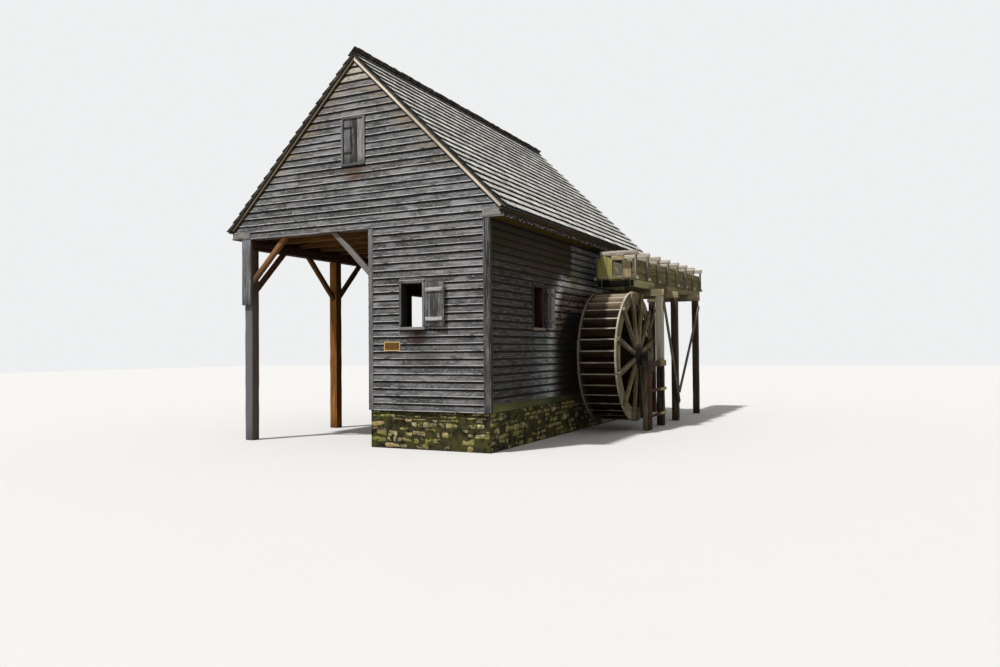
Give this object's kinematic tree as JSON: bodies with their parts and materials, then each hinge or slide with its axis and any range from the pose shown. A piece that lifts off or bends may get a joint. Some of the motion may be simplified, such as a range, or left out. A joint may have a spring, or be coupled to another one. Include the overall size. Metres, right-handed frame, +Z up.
{
  "type": "watermill",
  "caption": "Weathered clapboard mill with an open wagon bay under a steep shingled roof, and an overshot wooden water wheel fed by a trestle flume along one side.",
  "frame": {"origin": "middle of the footprint's bounding box, at the lowest level where the stone and the posts meet the ground", "axes": "+X right along the front gable towards the water wheel, +Y back along the ridge, +Z up"},
  "size_m": [6.5148, 9.9192, 6.5428],
  "materials": {
    "fieldstone": "matte",
    "grey_siding": "matte",
    "brown_boards": "matte",
    "frame_timber": "matte",
    "shingles": "matte",
    "trim_boards": "matte",
    "shutter_boards": "matte",
    "blank_plate": "satin",
    "wheel_wood": "matte",
    "dark_iron": "matte",
    "trestle_timber": "matte",
    "mossy_planks": "matte"
  },
  "bodies": {
    "mill": {"stone_foundation": "fieldstone", "room_floor": "brown_boards", "front_wall": "grey_siding", "right_wall": "grey_siding", "back_wall": "grey_siding", "bay_wall_front": "brown_boards", "bay_wall_back": "brown_boards", "bay_wall_lintel": "brown_boards", "front_gable": "grey_siding", "back_gable": "grey_siding", "left_knee_wall": "grey_siding", "corner_boards": "trim_boards", "bay_posts": "frame_timber", "bay_plate": "frame_timber", "knee_braces": "frame_timber", "ceiling_joists": "brown_boards", "loft_floor": "brown_boards", "left_roof": "shingles", "right_roof": "shingles", "ridge_comb": "shingles", "rake_boards": "trim_boards", "eave_boxes": "trim_boards", "window_frames": "trim_boards", "loft_frames": "trim_boards", "room_shutters": "shutter_boards", "loft_shutters": "shutter_boards", "plaque": "blank_plate", "wall_bearing": "dark_iron", "outer_bearing": "dark_iron", "bearing_frame": "trestle_timber", "trestle_posts": "trestle_timber", "trestle_caps": "trestle_timber", "trestle_braces": "trestle_timber", "flume_stringers": "mossy_planks", "flume_floor": "mossy_planks", "flume_sides": "mossy_planks", "flume_cleats": "mossy_planks", "flume_ties": "mossy_planks"},
    "wheel": {"inner_rim": "wheel_wood", "outer_rim": "wheel_wood", "wheel_arms": "wheel_wood", "wheel_buckets": "wheel_wood", "wheel_sole": "wheel_wood", "wheel_hub": "wheel_wood", "hub_plates": "dark_iron", "axle": "dark_iron"}
  },
  "joints": [
    {"name": "wheel_turn", "type": "hinge", "parent": "mill", "child": "wheel", "pos_m": [2.5846, -0.63043, 1.405], "axis": [1, 0, 0], "continuous": true}
  ]
}
